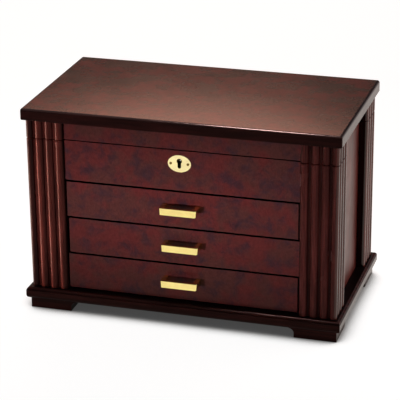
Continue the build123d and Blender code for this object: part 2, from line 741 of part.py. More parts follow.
def all_parts():
    """Every node of the box by name."""
    parts = {
        "base_board": base_board(),
        "side_panel_left": side_panel(-1),
        "side_panel_right": side_panel(1),
        "back_panel": back_panel(),
        "front_panel": front_panel(),
        "guide_walls": guide_walls(),
        "top_rails": top_rails(),
        "drawer_runners": drawer_runners(),
        "compartment_floor": compartment_floor(),
        "tray_lining": tray_lining(),
        "tray_dividers": tray_dividers(),
        "ring_rolls": ring_rolls(),
        "escutcheon": escutcheon(),
        "escutcheon_pins": escutcheon_pins(),
        "lock_case": lock_case(),
        "lock_bolt": lock_bolt(),
        "hinge_leaves_case": hinge_leaves_with_holes(False),
        "hinge_screws_case": hinge_screws(False),
        "hinge_pins": hinge_pins(),
        "lid_board": lid_board(),
        "lid_front_apron": lid_front_apron(),
        "lid_rear_apron": lid_rear_apron(),
        "lid_side_aprons": lid_side_aprons(),
        "lid_mirror": lid_mirror(),
        "lid_mirror_frame": lid_mirror_frame(),
        "lid_link_plate": link_plate() - link_plate_screws(),
        "hinge_leaves_lid": hinge_leaves_with_holes(True),
        "lid_screws": lid_screws(),
    }
    for side, side_name in ((-1, "left"), (1, "right")):
        for end, end_name in ((-1, "front"), (1, "rear")):
            corner = f"{end_name}_{side_name}"
            parts[f"foot_{corner}"] = foot(side, end)
            parts[f"pillar_{corner}"] = pillar(side, end, base_top, case_top, True)
            parts[f"lid_pillar_{corner}"] = pillar(side, end, lid_bottom, board_bottom, False)
    for number in range(1, drawer_count + 1):
        space = DrawerSpace(number)
        name = f"drawer_{number}"
        parts[f"{name}_front"] = drawer_front(space)
        parts[f"{name}_box"] = drawer_box(space)
        parts[f"{name}_bottom"] = drawer_bottom(space)
        parts[f"{name}_lining"] = drawer_lining(space)
        parts[f"{name}_pull"] = drawer_pull(space)
        parts[f"{name}_pull_screws"] = pull_screws(space)
        if DIVIDERS_IN_DRAWER[number - 1]:
            parts[f"{name}_dividers"] = drawer_dividers(space, DIVIDERS_IN_DRAWER[number - 1])
    return parts


os.makedirs("parts", exist_ok=True)
for node, shape in all_parts().items():
    export_step(Pos(0, case_shift_y, 0) * shape, f"parts/{node}.step")
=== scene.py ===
"""Looks of the locking jewellery box: camera, studio, finishes and soft fittings. Lengths in metres.

X runs to the right, Y from the front to the back and Z up, from under the middle of the box.
"""
import math
import random

import bmesh
import bpy
from mathutils import Matrix, Vector, noise


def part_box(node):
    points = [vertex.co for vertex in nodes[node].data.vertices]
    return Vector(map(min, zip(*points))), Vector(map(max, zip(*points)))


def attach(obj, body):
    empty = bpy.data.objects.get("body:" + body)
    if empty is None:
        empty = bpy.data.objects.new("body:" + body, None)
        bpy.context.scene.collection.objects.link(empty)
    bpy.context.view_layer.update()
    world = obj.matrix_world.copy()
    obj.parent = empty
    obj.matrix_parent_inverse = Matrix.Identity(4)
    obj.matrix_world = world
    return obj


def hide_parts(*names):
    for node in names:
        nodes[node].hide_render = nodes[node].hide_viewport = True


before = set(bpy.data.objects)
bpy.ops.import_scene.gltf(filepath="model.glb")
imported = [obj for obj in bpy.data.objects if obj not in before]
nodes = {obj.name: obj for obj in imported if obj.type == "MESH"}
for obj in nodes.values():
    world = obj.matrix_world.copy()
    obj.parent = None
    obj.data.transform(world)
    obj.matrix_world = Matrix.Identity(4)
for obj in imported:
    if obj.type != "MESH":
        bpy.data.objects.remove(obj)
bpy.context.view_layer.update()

MM = 0.001
DRAWERS = [f"drawer_{number}" for number in (1, 2, 3)]
CORNERS = [f"{end}_{side}" for end in ("front", "rear") for side in ("left", "right")]

# Camera
LENS = 164.08
SENSOR = 36
CAMERA_PLACE = (0.563518, -1.887248, 0.896272)
CAMERA_YAW = 16.754
CAMERA_PITCH = 21.649
CAMERA_ROLL = -0.63

# Room, with the heights and levels of the walls as reflections show them
WORLD_FILL = 0.04
ROOM_LEVELS = ((0.10, 1.0), (0.2, 0.12), (0.36, 0.12), (0.5, 0.8), (1.0, 0.9))

# Floor, whose glow is dimmed close to the object as a painted contact shadow
FLOOR_SIZE = 8.0
FLOOR_GAP = 0.2 * MM
FLOOR_COLOUR = 0.25
FLOOR_BOUNCE = 0.35
FLOOR_GLOW = 0.93
PAPER_IN_GLOSS = (1.0, 0.93, 0.87, 1.0)
SHADOW_REACH = 45 * MM
SHADOW_SAMPLES = 16
SHADOW_SPAN = (0.3, 0.8)
SHADOW_FLOOR = 0.06

# Lamps: place, point that is faced, width and height, radiance, colour, and beam in degrees
PLAIN = (1.0, 1.0, 1.0)
WARM = (1.0, 0.86, 0.78)
AMBER = (1.0, 0.5, 0.37)
STRIP_AMBER = (1.0, 0.7, 0.56)
OPEN_BEAM = 180
NARROW_BEAM = 10
BOX_MIDDLE = (0, 0, 0.12)
LAMPS = {
    "left_softbox": ((-0.85, -0.2, 0.45), BOX_MIDDLE, (0.3, 0.4), 8.0, WARM, OPEN_BEAM),
    "right_softbox": ((0.56, 0.2, 0.2), (0.15, 0.0, 0.15), (0.5, 0.4), 4.2, WARM, OPEN_BEAM),
    "front_softbox": ((-0.62, -1.9, 0.1), (-0.04, -0.1, 0.14), (0.44, 0.06), 990.0, PLAIN, NARROW_BEAM),
    "rear_softbox": ((-0.52, 1.5, 1.25), BOX_MIDDLE, (1.25, 0.9), 3.1, AMBER, OPEN_BEAM),
    "edge_softbox": ((-0.15, -0.06, 1.24), (0.09, -0.1, 0.24), (0.26, 0.16), 120.0, PLAIN, OPEN_BEAM),
    "key_softbox": ((-0.87, 0.0, 0.38), (-0.17, -0.1, 0.16), (0.15, 0.3), 45.0, WARM, OPEN_BEAM),
    "strip_softbox": ((-0.265, -0.125, 0.112), (-0.165, -0.1, 0.112), (0.023, 0.222), 26.0, STRIP_AMBER,
                      OPEN_BEAM),
}
NOT_MIRRORED = ("left_softbox", "right_softbox", "front_softbox", "key_softbox")
ONLY_MIRRORED = "edge_softbox"
LEFT_LAMPS = ("key_softbox", "strip_softbox")
LEFT_NODES = ("pillar_front_left", "pillar_rear_left", "lid_pillar_front_left", "lid_pillar_rear_left",
              "side_panel_left")

# Limits on a face's normal, for the way that the face looks
FLAT_UP = 0.999
FACES_SIDE = 0.35
FACES_FULLY_SIDE = 0.9
FACES_FRONT = -0.93
FACES_AWAY = -0.07

# Pillars, and the depths below their reeds' crowns at which painted shade starts and is full
HALF_WIDTH = 180 * MM
HALF_DEPTH = 97.5 * MM
MIDDLE_Y = 2.25 * MM
REED_RISE = 3.3 * MM
CORNER_REED = 7.5 * MM
PAINTED_REED_SHADE_FRONT = (2.2 * MM, 2.9 * MM)
PAINTED_REED_SHADE_SIDE = (1.0 * MM, 2.0 * MM)
PAINTED_REED_SHADE_SLIGHT = (2.9 * MM, 3.3 * MM)
PAINTED_REED_SHADE_COVER = 0.92
PAINTED_REED_SHADE_UPRIGHT = (0.5, 0.9)

# Soft fittings
LINING = 1.5 * MM
LINING_CORNER = 3.0 * MM
LINING_COVE = 3.5 * MM
LINING_CROWN = 0.45 * MM
LINING_RIPPLE = 0.16 * MM
LINING_WAVES = 55
LINING_STEP = 4.0 * MM
LINING_FLOOR_LOOPS = (0.12, 0.2, 0.32, 0.5, 0.7, 0.92)
CROWN_POWER = 4
DIVIDER_CORNER = 1.4 * MM
DIVIDER_SWELL = 0.25 * MM
DIVIDER_RIPPLE = 0.1 * MM
DIVIDER_WAVES = 90
DIVIDER_STEP = 2.5 * MM
DIVIDER_HALF = 2.0 * MM
DIVIDER_LOOPS = (0.08, 0.25, 0.5, 0.75, 0.92)
CORNER_STEPS = 4
FEWEST_STEPS = 2
ARC_STEPS = 5
ALMOST_UPRIGHT = 84
RIPPLE_SEED = 3
SEED_STEP = 10

# Ring rolls, with the place and size of each section along a roll
ROLL_COUNT = 10
ROLL_GAP = 0.8 * MM
ROLL_SHRINK = 0.75 * MM
ROLL_SECTIONS = ((-0.5, 0.9), (-0.48, 0.97), (-0.45, 1.0), (0.45, 1.0), (0.48, 0.97), (0.5, 0.9))
ROLL_CAP = 1.1 * MM
ROLL_VOXEL = 1.3 * MM
ROLL_PRESSURE = 4.0
ROLL_FRAMES = 20
ROLL_SCALE = 10.0
ROLL_SEED = 7
ROLL_LEAN = 0.02
ROLL_LOWEST = 0.985
ROLL_SWAY = 0.15 * MM
ROLL_DENT = 0.25 * MM
ROLL_WAVES = 60
ROLL_APART = 5.0

# Screws
SLOT_WIDTH = 0.7 * MM
SLOT_DEPTH = 0.5 * MM
HEAD_RADIUS = 1.9 * MM
HEAD_EASE = 0.1 * MM
SLOT_REACH = 1.5 * HEAD_RADIUS
SHANK_RADIUS = 1.0 * MM
SCREW_LENGTH = 8.0 * MM
NECK = 0.8 * MM
THREAD_START = 1.0 * MM
THREAD_PITCH = 0.75 * MM
THREAD_FLANK = 0.3 * MM
THREAD_ROOT = 0.78 * SHANK_RADIUS
TIP_LENGTH = 1.5 * MM
TIP_RADIUS = 0.1 * MM
ROUND_STEPS = 32
SCREW_SEED = 11

# Nose of the lock's pin
PIN_TIP = (-0.8 * MM, -86.5 * MM, 194.8 * MM)
PIN_RADIUS = 1.12 * MM
PIN_DOME = 0.5
PIN_SLEEVE = 4.0 * MM

# Edges eased on the CAD nodes
CLOSE = 0.01 * MM
EASE_ANGLE = 40
EASE_SEGMENTS = 2
INNER_EASE = 0.35 * MM
PULL_EASE = 0.7 * MM
FITTING_EASE = 0.3 * MM


# Colours

def srgb(red, green, blue):
    """A colour written as it is seen, 0 to 255, in the linear values that the nodes take."""
    def linear(level):
        share = level / 255
        return share / 12.92 if share <= 0.04045 else ((share + 0.055) / 1.055) ** 2.4
    return (linear(red), linear(green), linear(blue), 1.0)


WHITE = (1.0, 1.0, 1.0, 1.0)
RED_LACQUER = (1.0, 0.55, 0.5, 1.0)
AMBER_LACQUER = (1.0, 0.78, 0.7, 1.0)
PALE_LACQUER = (1.0, 0.86, 0.8, 1.0)
VELVET_SHEEN = (0.75, 0.6, 0.6, 1.0)
MIRROR_TONES = ((0.86, 0.88, 0.88, 1.0), (0.9, 0.91, 0.91, 1.0))

BURL_FRONT = (srgb(80, 42, 40), srgb(92, 37, 37), srgb(46, 34, 44))
BURL_TOP = (srgb(79, 46, 30), srgb(110, 41, 29), srgb(52, 43, 26))
PILLAR_STAIN = (srgb(54, 20, 17), srgb(82, 34, 30))
# Painted light: the same pillar stain made lighter for the right pillars, which the left lamps don't reach
RIGHT_STAIN_PAINTED_LIGHTER = (srgb(60, 24, 22), srgb(90, 40, 37))
EDGE_STAIN = (srgb(26, 9, 9), srgb(44, 17, 16))
BASE_STAIN = (srgb(32, 13, 12), srgb(54, 23, 21))
# Painted shade: darker colours for the bottoms of the reeds' grooves, darker still on the right pillars
PAINTED_GROOVE_SHADE = (srgb(50, 22, 20), srgb(80, 35, 31))
DARK_PAINTED_GROOVE_SHADE = (srgb(30, 13, 12), srgb(50, 22, 20))
# Painted shade: near black for the rounds at the fronts' gaps and the base's ledge
PAINTED_BLACK_SHADE = (srgb(7, 3, 3), srgb(13, 6, 6))
PANEL_STAIN = (srgb(56, 18, 14), srgb(92, 30, 22))
INNER_STAIN = (srgb(96, 56, 42), srgb(134, 84, 62))
# Colour of the painted shade deep in the reeds' grooves
PAINTED_REED_SHADE_COLOUR = srgb(13, 6, 6)

BRASS_COLOUR = srgb(250, 233, 152)
PALE_BRASS_COLOUR = srgb(253, 243, 184)
AGED_BRASS_COLOUR = srgb(122, 100, 52)
LOCK_BRASS_COLOUR = srgb(212, 176, 104)
STEEL_COLOUR = srgb(226, 226, 222)
ZINC_COLOUR = srgb(196, 198, 200)
VELVET_COLOUR = srgb(46, 30, 32)

# Roughness, where a polish runs from its glossiest spots to its dullest
BURL_POLISH = (0.09, 0.15)
BURL_TOP_POLISH = (0.134, 0.148)
LACQUER_POLISH = (0.12, 0.19)
PILLAR_POLISH = (0.2, 0.28)
SIDE_POLISH = (0.34, 0.42)
DULL_POLISH = (0.3, 0.4)
BRASS_POLISH = (0.10, 0.22)
PALE_BRASS_POLISH = (0.12, 0.24)
AGED_BRASS_POLISH = (0.3, 0.45)
LOCK_POLISH = (0.24, 0.38)
STEEL_POLISH = (0.2, 0.3)
ZINC_POLISH = (0.22, 0.36)
MIRROR_HAZE = (0.012, 0.03)
INNER_ROUGHNESS = 0.42
VELVET_ROUGHNESS = 0.95

# Refraction, which sets how much light a surface throws back
LACQUER_IOR = 1.2
EDGE_IOR = 1.14
DULL_IOR = 1.1
ROUND_IOR = 1.35
SIDE_IOR = 1.4
SIDE_PANEL_IOR = 1.45
INNER_IOR = 1.4
VELVET_IOR = 1.2

# Depths of fine unevenness
LACQUER_WAVES = 0.012 * MM
BURL_TOP_WAVES = 0.001 * MM
INNER_GRIT = 0.03 * MM
FINE_RUB = 0.004 * MM
ZINC_RUB = 0.01 * MM
AGED_RUB = 0.01 * MM
LOCK_RUB = 0.012 * MM
VELVET_PILE = 0.12 * MM

# Figure and grain, with the span in which most of a noise's values lie
MOST = (0.3, 0.7)
BURL_SWIRL = (0.014, 0.014, 0.014)
PATCH_SHIFT = (3.1, 1.7, 0.4)
FLECK_STRETCH = (1.0, 0.6, 0.35)
CLOUD_COVER = 0.8
GRAIN_STRETCH = 0.06
INNER_GRAIN_STRETCH = 0.05
RUB_STRETCH = (0.03, 1.0, 1.0)


# Camera

def make_camera():
    yaw, pitch, roll = (math.radians(angle) for angle in (CAMERA_YAW, CAMERA_PITCH, CAMERA_ROLL))
    level = Vector((math.cos(yaw), math.sin(yaw), 0))
    ahead = Vector((-math.sin(yaw) * math.cos(pitch), math.cos(yaw) * math.cos(pitch), -math.sin(pitch)))
    upright = level.cross(ahead)
    right = level * math.cos(roll) + upright * math.sin(roll)
    up = upright * math.cos(roll) - level * math.sin(roll)
    camera = bpy.data.objects.new("camera", bpy.data.cameras.new("camera"))
    camera.data.lens = LENS
    camera.data.sensor_width = SENSOR
    turn = Matrix((right, up, -ahead)).transposed().to_4x4()
    camera.matrix_world = Matrix.Translation(CAMERA_PLACE) @ turn
    bpy.context.scene.collection.objects.link(camera)
    bpy.context.scene.camera = camera


# Shader nodes

def set_socket(tree, socket, value):
    """Link a socket to another node's output, or set its value."""
    if isinstance(value, bpy.types.NodeSocket):
        tree.links.new(value, socket)
    else:
        socket.default_value = value


def add_node(tree, kind, values=None, **settings):
    """A node with its own settings, and with values or links for its inputs."""
    made = tree.nodes.new(kind)
    for setting, value in settings.items():
        setattr(made, setting, value)
    for socket, value in (values or {}).items():
        set_socket(tree, made.inputs[socket], value)
    return made


def math_node(tree, operation, first, second):
    return add_node(tree, "ShaderNodeMath", {0: first, 1: second}, operation=operation).outputs[0]


def mix_colours(tree, share, first, second, blend="MIX"):
    """Two colours mixed. The node takes them at inputs 6 and 7, behind those for plain values."""
    values = {0: share, 6: first, 7: second}
    return add_node(tree, "ShaderNodeMix", values, data_type="RGBA", blend_type=blend).outputs[2]


def remap_node(tree, value, span, to):
    """Take a value smoothly from one span to another, and hold it there beyond the ends."""
    values = {"Value": value, "From Min": span[0], "From Max": span[1], "To Min": to[0], "To Max": to[1]}
    return add_node(tree, "ShaderNodeMapRange", values, interpolation_type="SMOOTHSTEP").outputs["Result"]


def seen_ray(tree):
    """1 for rays that show the background: from the camera, in reflections and through glass."""
    path = add_node(tree, "ShaderNodeLightPath").outputs
    plain = math_node(tree, "MAXIMUM", path["Is Camera Ray"], path["Is Glossy Ray"])
    return math_node(tree, "MAXIMUM", plain, path["Is Transmission Ray"])


# Studio

def softbox(name, place, aim, size, radiance, colour, beam):
    """A lamp that faces a point, with a given radiance straight ahead. Its own shape isn't seen.

    A beam under 180 degrees is a grid on the lamp, which narrows it.
    """
    half_beam = math.radians(beam) / 2
    width, height = size
    data = bpy.data.lights.new(name, "AREA")
    data.shape = "RECTANGLE"
    data.size = width
    data.size_y = height
    data.spread = 2 * half_beam
    data.color = colour
    data.energy = radiance * math.pi * width * height * (1 - half_beam / math.tan(half_beam))
    lamp = bpy.data.objects.new(name, data)
    lamp.location = place
    lamp.rotation_euler = (Vector(aim) - Vector(place)).to_track_quat("-Z", "Y").to_euler()
    lamp.visible_camera = False
    lamp.visible_glossy = name not in NOT_MIRRORED
    lamp.visible_diffuse = name != ONLY_MIRRORED
    bpy.context.scene.collection.objects.link(lamp)
    return lamp


def make_world():
    """A white room for what is seen, and a plain level of fill light on the object."""
    world = bpy.data.worlds.new("studio")
    bpy.context.scene.world = world
    world.use_nodes = True
    tree = world.node_tree
    tree.nodes.clear()
    fill = add_node(tree, "ShaderNodeBackground", {"Strength": WORLD_FILL, "Color": WHITE})
    place = add_node(tree, "ShaderNodeTexCoord").outputs["Generated"]
    height = add_node(tree, "ShaderNodeSeparateXYZ", {0: place}).outputs["Z"]
    ramp = add_node(tree, "ShaderNodeValToRGB", {0: height})
    stops = ramp.color_ramp.elements
    while len(stops) < len(ROOM_LEVELS):
        stops.new(1.0)
    for stop, (position, level) in zip(stops, ROOM_LEVELS):
        stop.position = position
        stop.color = (level, level, level, 1)
    seen = add_node(tree, "ShaderNodeBackground", {"Color": ramp.outputs["Color"]})
    shaders = {0: seen_ray(tree), 1: fill.outputs[0], 2: seen.outputs[0]}
    either = add_node(tree, "ShaderNodeMixShader", shaders).outputs[0]
    add_node(tree, "ShaderNodeOutputWorld", {"Surface": either})


def floor_paper():
    """Paper that glows white where it is seen, with a painted contact shadow that dims the glow close to the
    object.
    """
    material = bpy.data.materials.new("floor_paper")
    material.use_nodes = True
    tree = material.node_tree
    tree.nodes.clear()
    seen = seen_ray(tree)
    levels = {"Value": seen, "To Min": FLOOR_BOUNCE, "To Max": FLOOR_COLOUR}
    shade = add_node(tree, "ShaderNodeMapRange", levels).outputs[0]
    paper = add_node(tree, "ShaderNodeBsdfDiffuse", {"Color": shade}).outputs[0]

    # Painted contact shadow: the glow fades where the object hides the sky close by
    reach = {"Distance": SHADOW_REACH}
    open_sky = add_node(tree, "ShaderNodeAmbientOcclusion", reach, samples=SHADOW_SAMPLES).outputs["AO"]
    painted_contact_shadow = remap_node(tree, open_sky, SHADOW_SPAN, (SHADOW_FLOOR, 1.0))
    level = math_node(tree, "MULTIPLY", math_node(tree, "MULTIPLY", painted_contact_shadow, seen), FLOOR_GLOW)
    from_camera = add_node(tree, "ShaderNodeLightPath").outputs["Is Camera Ray"]
    tint = mix_colours(tree, from_camera, PAPER_IN_GLOSS, WHITE)
    glow = add_node(tree, "ShaderNodeEmission", {"Color": tint, "Strength": level}).outputs[0]

    both = add_node(tree, "ShaderNodeAddShader", {0: paper, 1: glow}).outputs[0]
    add_node(tree, "ShaderNodeOutputMaterial", {"Surface": both})
    return material


def make_floor():
    """A pale floor, which keeps the object's cast shadow and adds a painted contact shadow."""
    half = FLOOR_SIZE / 2
    mesh = bpy.data.meshes.new("floor")
    corners = [(x, y, -FLOOR_GAP) for x, y in ((-half, -half), (half, -half), (half, half), (-half, half))]
    mesh.from_pydata(corners, [], [(0, 1, 2, 3)])
    floor = bpy.data.objects.new("floor", mesh)
    bpy.context.scene.collection.objects.link(floor)
    mesh.materials.append(floor_paper())


def make_studio():
    make_world()
    make_floor()
    lamps = {name: softbox(name, *values) for name, values in LAMPS.items()}
    lamps["rear_softbox"].data.shape = "ELLIPSE"
    lamps["key_softbox"].data.use_shadow = False
    left_side = bpy.data.collections.new("left_side")
    for node in LEFT_NODES:
        left_side.objects.link(nodes[node])
    for name in LEFT_LAMPS:
        lamps[name].light_linking.receiver_collection = left_side


# Materials

class Surface:
    """One material, built up a node at a time. Scales are waves in a metre."""

    def __init__(self, name):
        self.material = bpy.data.materials.new(name)
        self.material.use_nodes = True
        self.tree = self.material.node_tree
        self.shader = self.tree.nodes["Principled BSDF"]
        self.place = self.node("ShaderNodeTexCoord").outputs["Object"]

    def node(self, kind, values=None, **settings):
        return add_node(self.tree, kind, values, **settings)

    def finish(self, **values):
        """Set the shader's inputs, with underscores for the spaces in their names."""
        for socket, value in values.items():
            set_socket(self.tree, self.shader.inputs[socket.replace("_", " ")], value)
        return self.material

    def stretched(self, x, y, z):
        """The object's coordinates times a factor along each axis."""
        return self.node("ShaderNodeMapping", {"Vector": self.place, "Scale": (x, y, z)}).outputs[0]

    def along(self, grain, factor):
        """The object's coordinates, drawn out along the grain's axis."""
        return self.stretched(*[factor if axis == grain else 1.0 for axis in "xyz"])

    def shifted(self, offset):
        return self.node("ShaderNodeMapping", {"Vector": self.place, "Location": offset}).outputs[0]

    def noise(self, scale, detail=3.0, roughness=0.5, distortion=0.0, vector=None, output="Fac"):
        values = {"Vector": vector or self.place, "Scale": scale, "Detail": detail,
                  "Roughness": roughness, "Distortion": distortion}
        return self.node("ShaderNodeTexNoise", values).outputs[output]

    def remap(self, value, span, to=(0.0, 1.0)):
        return remap_node(self.tree, value, span, to)

    def math(self, operation, first, second=0.0):
        return math_node(self.tree, operation, first, second)

    def vector(self, operation, first, second):
        return self.node("ShaderNodeVectorMath", {0: first, 1: second}, operation=operation).outputs[0]

    def mix(self, share, first, second):
        return mix_colours(self.tree, share, first, second)

    def shaded(self, colour, level):
        """A colour times one level."""
        grey = self.node("ShaderNodeCombineColor", {0: level, 1: level, 2: level}).outputs[0]
        return mix_colours(self.tree, 1.0, colour, grey, "MULTIPLY")

    def bump(self, height, distance):
        return self.node("ShaderNodeBump", {"Height": height, "Distance": distance}).outputs[0]


def burl_veneer(name, ground, red, cloud, tint, polish=BURL_POLISH, waves=LACQUER_WAVES):
    """Burl under lacquer: dark clouds and red patches, with a fine curly figure and small eyes."""
    made = Surface(name)
    swirl = made.vector("MULTIPLY", made.noise(60.0, output="Color"), BURL_SWIRL)
    place = made.vector("ADD", made.place, swirl)
    clouds = made.noise(62.0, detail=5.0, roughness=0.55, vector=place)
    patches = made.noise(32.0, detail=4.0, roughness=0.6, vector=made.shifted(PATCH_SHIFT))
    figure = made.noise(260.0, detail=6.0, roughness=0.65, distortion=0.8, vector=place)
    flecks = made.noise(900.0, roughness=0.6, distortion=0.3, vector=made.stretched(*FLECK_STRETCH))
    eyes = made.node("ShaderNodeTexVoronoi", {"Vector": place, "Scale": 85.0, "Randomness": 1.0})
    colour = made.mix(made.remap(patches, (0.4, 0.6)), ground, red)
    cover = made.math("MULTIPLY", made.remap(clouds, (0.44, 0.72)), CLOUD_COVER)
    colour = made.mix(cover, colour, cloud)
    shade = made.remap(figure, MOST, to=(0.84, 1.14))
    shade = made.math("MULTIPLY", shade, made.remap(flecks, (0.35, 0.65), to=(0.92, 1.07)))
    from_eye = eyes.outputs["Distance"]
    shade = made.math("MULTIPLY", shade, made.remap(from_eye, (0.04, 0.2), to=(0.87, 1.0)))
    gloss = made.remap(made.noise(26.0, detail=2.0), MOST, to=polish)
    unevenness = made.bump(made.noise(70.0, detail=2.0), waves)
    return made.finish(Base_Color=made.shaded(colour, shade), Roughness=gloss, IOR=LACQUER_IOR,
                       Specular_Tint=tint, Normal=unevenness)


def mahogany(name, grain, dark, light, polish=LACQUER_POLISH, ior=LACQUER_IOR, tint=RED_LACQUER, painted_reed_shade=None):
    """Stained wood under lacquer, with its grain along one axis: streaks, pores and slow colour changes."""
    made = Surface(name)
    place = made.along(grain, GRAIN_STRETCH)
    streaks = made.noise(210.0, detail=5.0, roughness=0.62, distortion=0.5, vector=place)
    pores = made.remap(made.noise(1500.0, detail=2.0, vector=place), (0.3, 0.46), to=(0.7, 1.0))
    slow = made.remap(made.noise(16.0, detail=2.0, distortion=0.3), (0.35, 0.65), to=(0.84, 1.12))
    colour = made.mix(made.remap(streaks, (0.36, 0.66)), dark, light)
    colour = made.shaded(colour, made.math("MULTIPLY", pores, slow))
    # Painted shade: a darker colour deep in the grooves between reeds, where shade falls
    if painted_reed_shade:
        colour = made.mix(painted_reed_shade_share(made, painted_reed_shade), colour, PAINTED_REED_SHADE_COLOUR)
    gloss = made.remap(made.noise(30.0, detail=2.0), MOST, to=polish)
    unevenness = made.bump(made.noise(600.0, detail=2.0, vector=place), LACQUER_WAVES)
    return made.finish(Base_Color=colour, Roughness=gloss, IOR=ior, Specular_Tint=tint, Normal=unevenness)


def painted_reed_shade_share(made, depths):
    """How much painted shade darkens a pillar's upright faces: none on its reeds' crowns, and most in the
    grooves.
    """
    at = made.node("ShaderNodeSeparateXYZ", {0: made.place}).outputs
    from_middle = made.math("ABSOLUTE", made.math("SUBTRACT", at["Y"], MIDDLE_Y))
    below_front = made.math("SUBTRACT", HALF_DEPTH, from_middle)
    below_side = made.math("SUBTRACT", HALF_WIDTH, made.math("ABSOLUTE", at["X"]))
    depth = made.math("MINIMUM", below_front, below_side)
    normal = made.node("ShaderNodeTexCoord").outputs["Normal"]
    level = made.math("ABSOLUTE", made.node("ShaderNodeSeparateXYZ", {0: normal}).outputs["Z"])
    upright = made.remap(level, PAINTED_REED_SHADE_UPRIGHT, to=(1.0, 0.0))
    return made.math("MULTIPLY", made.remap(depth, depths, to=(0.0, PAINTED_REED_SHADE_COVER)), upright)


def inner_wood(name, grain):
    """Satin stained wood for the parts inside."""
    made = Surface(name)
    place = made.along(grain, INNER_GRAIN_STRETCH)
    streaks = made.noise(160.0, detail=5.0, roughness=0.6, distortion=0.6, vector=place)
    pores = made.remap(made.noise(1300.0, detail=2.0, vector=place), (0.28, 0.44), to=(0.62, 1.0))
    colour = made.mix(made.remap(streaks, (0.35, 0.68)), *INNER_STAIN)
    grit = made.bump(made.noise(900.0, vector=place), INNER_GRIT)
    return made.finish(Base_Color=made.shaded(colour, pores), Roughness=INNER_ROUGHNESS, IOR=INNER_IOR,
                       Normal=grit)


def metal(name, colour, polish, rub=FINE_RUB):
    """Polished metal: fine rub marks along X, and slow changes of its tone."""
    made = Surface(name)
    marks = made.noise(1400.0, roughness=0.6, vector=made.stretched(*RUB_STRETCH))
    tone = made.remap(made.noise(90.0), MOST, to=(0.93, 1.03))
    return made.finish(Base_Color=made.shaded(colour, tone), Metallic=1.0,
                       Roughness=made.remap(marks, MOST, to=polish), Normal=made.bump(marks, rub))


def velvet(name, colour):
    """Short pile: a soft sheen, a fine nap and slow brushed changes."""
    made = Surface(name)
    nap = made.noise(2600.0, detail=2.0, roughness=0.6)
    brushed = made.remap(made.noise(38.0, distortion=0.8), (0.35, 0.65), to=(0.8, 1.25))
    shade = made.math("MULTIPLY", made.remap(nap, MOST, to=(0.7, 1.25)), brushed)
    return made.finish(Base_Color=made.shaded(colour, shade), Roughness=VELVET_ROUGHNESS, IOR=VELVET_IOR,
                       Sheen_Weight=0.8, Sheen_Roughness=0.4, Sheen_Tint=VELVET_SHEEN,
                       Normal=made.bump(nap, VELVET_PILE))


def mirror_glass():
    """Silvered glass with a trace of haze."""
    made = Surface("mirror_glass")
    haze = made.remap(made.noise(18.0), MOST, to=MIRROR_HAZE)
    tone = made.mix(made.noise(9.0, detail=2.0), *MIRROR_TONES)
    return made.finish(Base_Color=tone, Metallic=1.0, Roughness=haze)


burl_front = burl_veneer("burl_front", *BURL_FRONT, RED_LACQUER)
burl_top = burl_veneer("burl_top", *BURL_TOP, AMBER_LACQUER, polish=BURL_TOP_POLISH, waves=BURL_TOP_WAVES)
dark_edge = mahogany("dark_edge", "x", *EDGE_STAIN, ior=EDGE_IOR)
base_wood = mahogany("base_wood", "x", *BASE_STAIN, ior=EDGE_IOR)
board_round = mahogany("board_round", "x", *EDGE_STAIN, ior=ROUND_IOR)
dark_side = mahogany("dark_side", "y", *EDGE_STAIN, tint=PALE_LACQUER)
# Painted shade, near black, for places that lie in shadow
painted_black_shade = mahogany("painted_black_shade", "x", *PAINTED_BLACK_SHADE, polish=DULL_POLISH, ior=DULL_IOR)
# Pillar woods, with painted shade deep in their reeds' grooves
pillar_front = mahogany("pillar_wood", "z", *PILLAR_STAIN, polish=PILLAR_POLISH, painted_reed_shade=PAINTED_REED_SHADE_FRONT)
# Painted light: a lighter copy of the pillar wood for the right pillars
painted_lighter_right_pillar = mahogany("pillar_right_wood", "z", *RIGHT_STAIN_PAINTED_LIGHTER, polish=PILLAR_POLISH, painted_reed_shade=PAINTED_REED_SHADE_SLIGHT)
pillar_side = mahogany("pillar_side_wood", "z", *PILLAR_STAIN, ior=SIDE_IOR, tint=PALE_LACQUER,
                       painted_reed_shade=PAINTED_REED_SHADE_SIDE)
# Painted shade for the groove bottoms
painted_groove_shade = mahogany("painted_groove_shade", "z", *PAINTED_GROOVE_SHADE, polish=DULL_POLISH, ior=DULL_IOR)
dark_painted_groove_shade = mahogany("dark_painted_groove_shade", "z", *DARK_PAINTED_GROOVE_SHADE, polish=DULL_POLISH, ior=DULL_IOR)
# Painted shade for the corner reeds of the left pillars
painted_corner_shade = mahogany("painted_corner_shade", "z", *EDGE_STAIN, polish=PILLAR_POLISH)
side_wood = mahogany("side_panel_wood", "z", *PILLAR_STAIN, polish=SIDE_POLISH, ior=SIDE_PANEL_IOR,
                     tint=PALE_LACQUER)
wood_along = {axis: mahogany(f"mahogany_{axis}", axis, *PANEL_STAIN) for axis in "xy"}
inner_along = {axis: inner_wood(f"inner_wood_{axis}", axis) for axis in "xy"}
polished_brass = metal("polished_brass", BRASS_COLOUR, BRASS_POLISH)
pale_brass = metal("pale_brass", PALE_BRASS_COLOUR, PALE_BRASS_POLISH)
aged_brass = metal("aged_brass", AGED_BRASS_COLOUR, AGED_BRASS_POLISH, rub=AGED_RUB)
lock_brass = metal("lock_brass", LOCK_BRASS_COLOUR, LOCK_POLISH, rub=LOCK_RUB)
bright_steel = metal("bright_steel", STEEL_COLOUR, STEEL_POLISH)
zinc = metal("zinc_plate", ZINC_COLOUR, ZINC_POLISH, rub=ZINC_RUB)
dark_velvet = velvet("dark_velvet", VELVET_COLOUR)
silvered = mirror_glass()


# Finishes of the CAD nodes

def give(material, *names):
    """Put one material on whole CAD nodes."""
    for name in names:
        mesh = nodes[name].data
        mesh.materials.clear()
        mesh.materials.append(material)


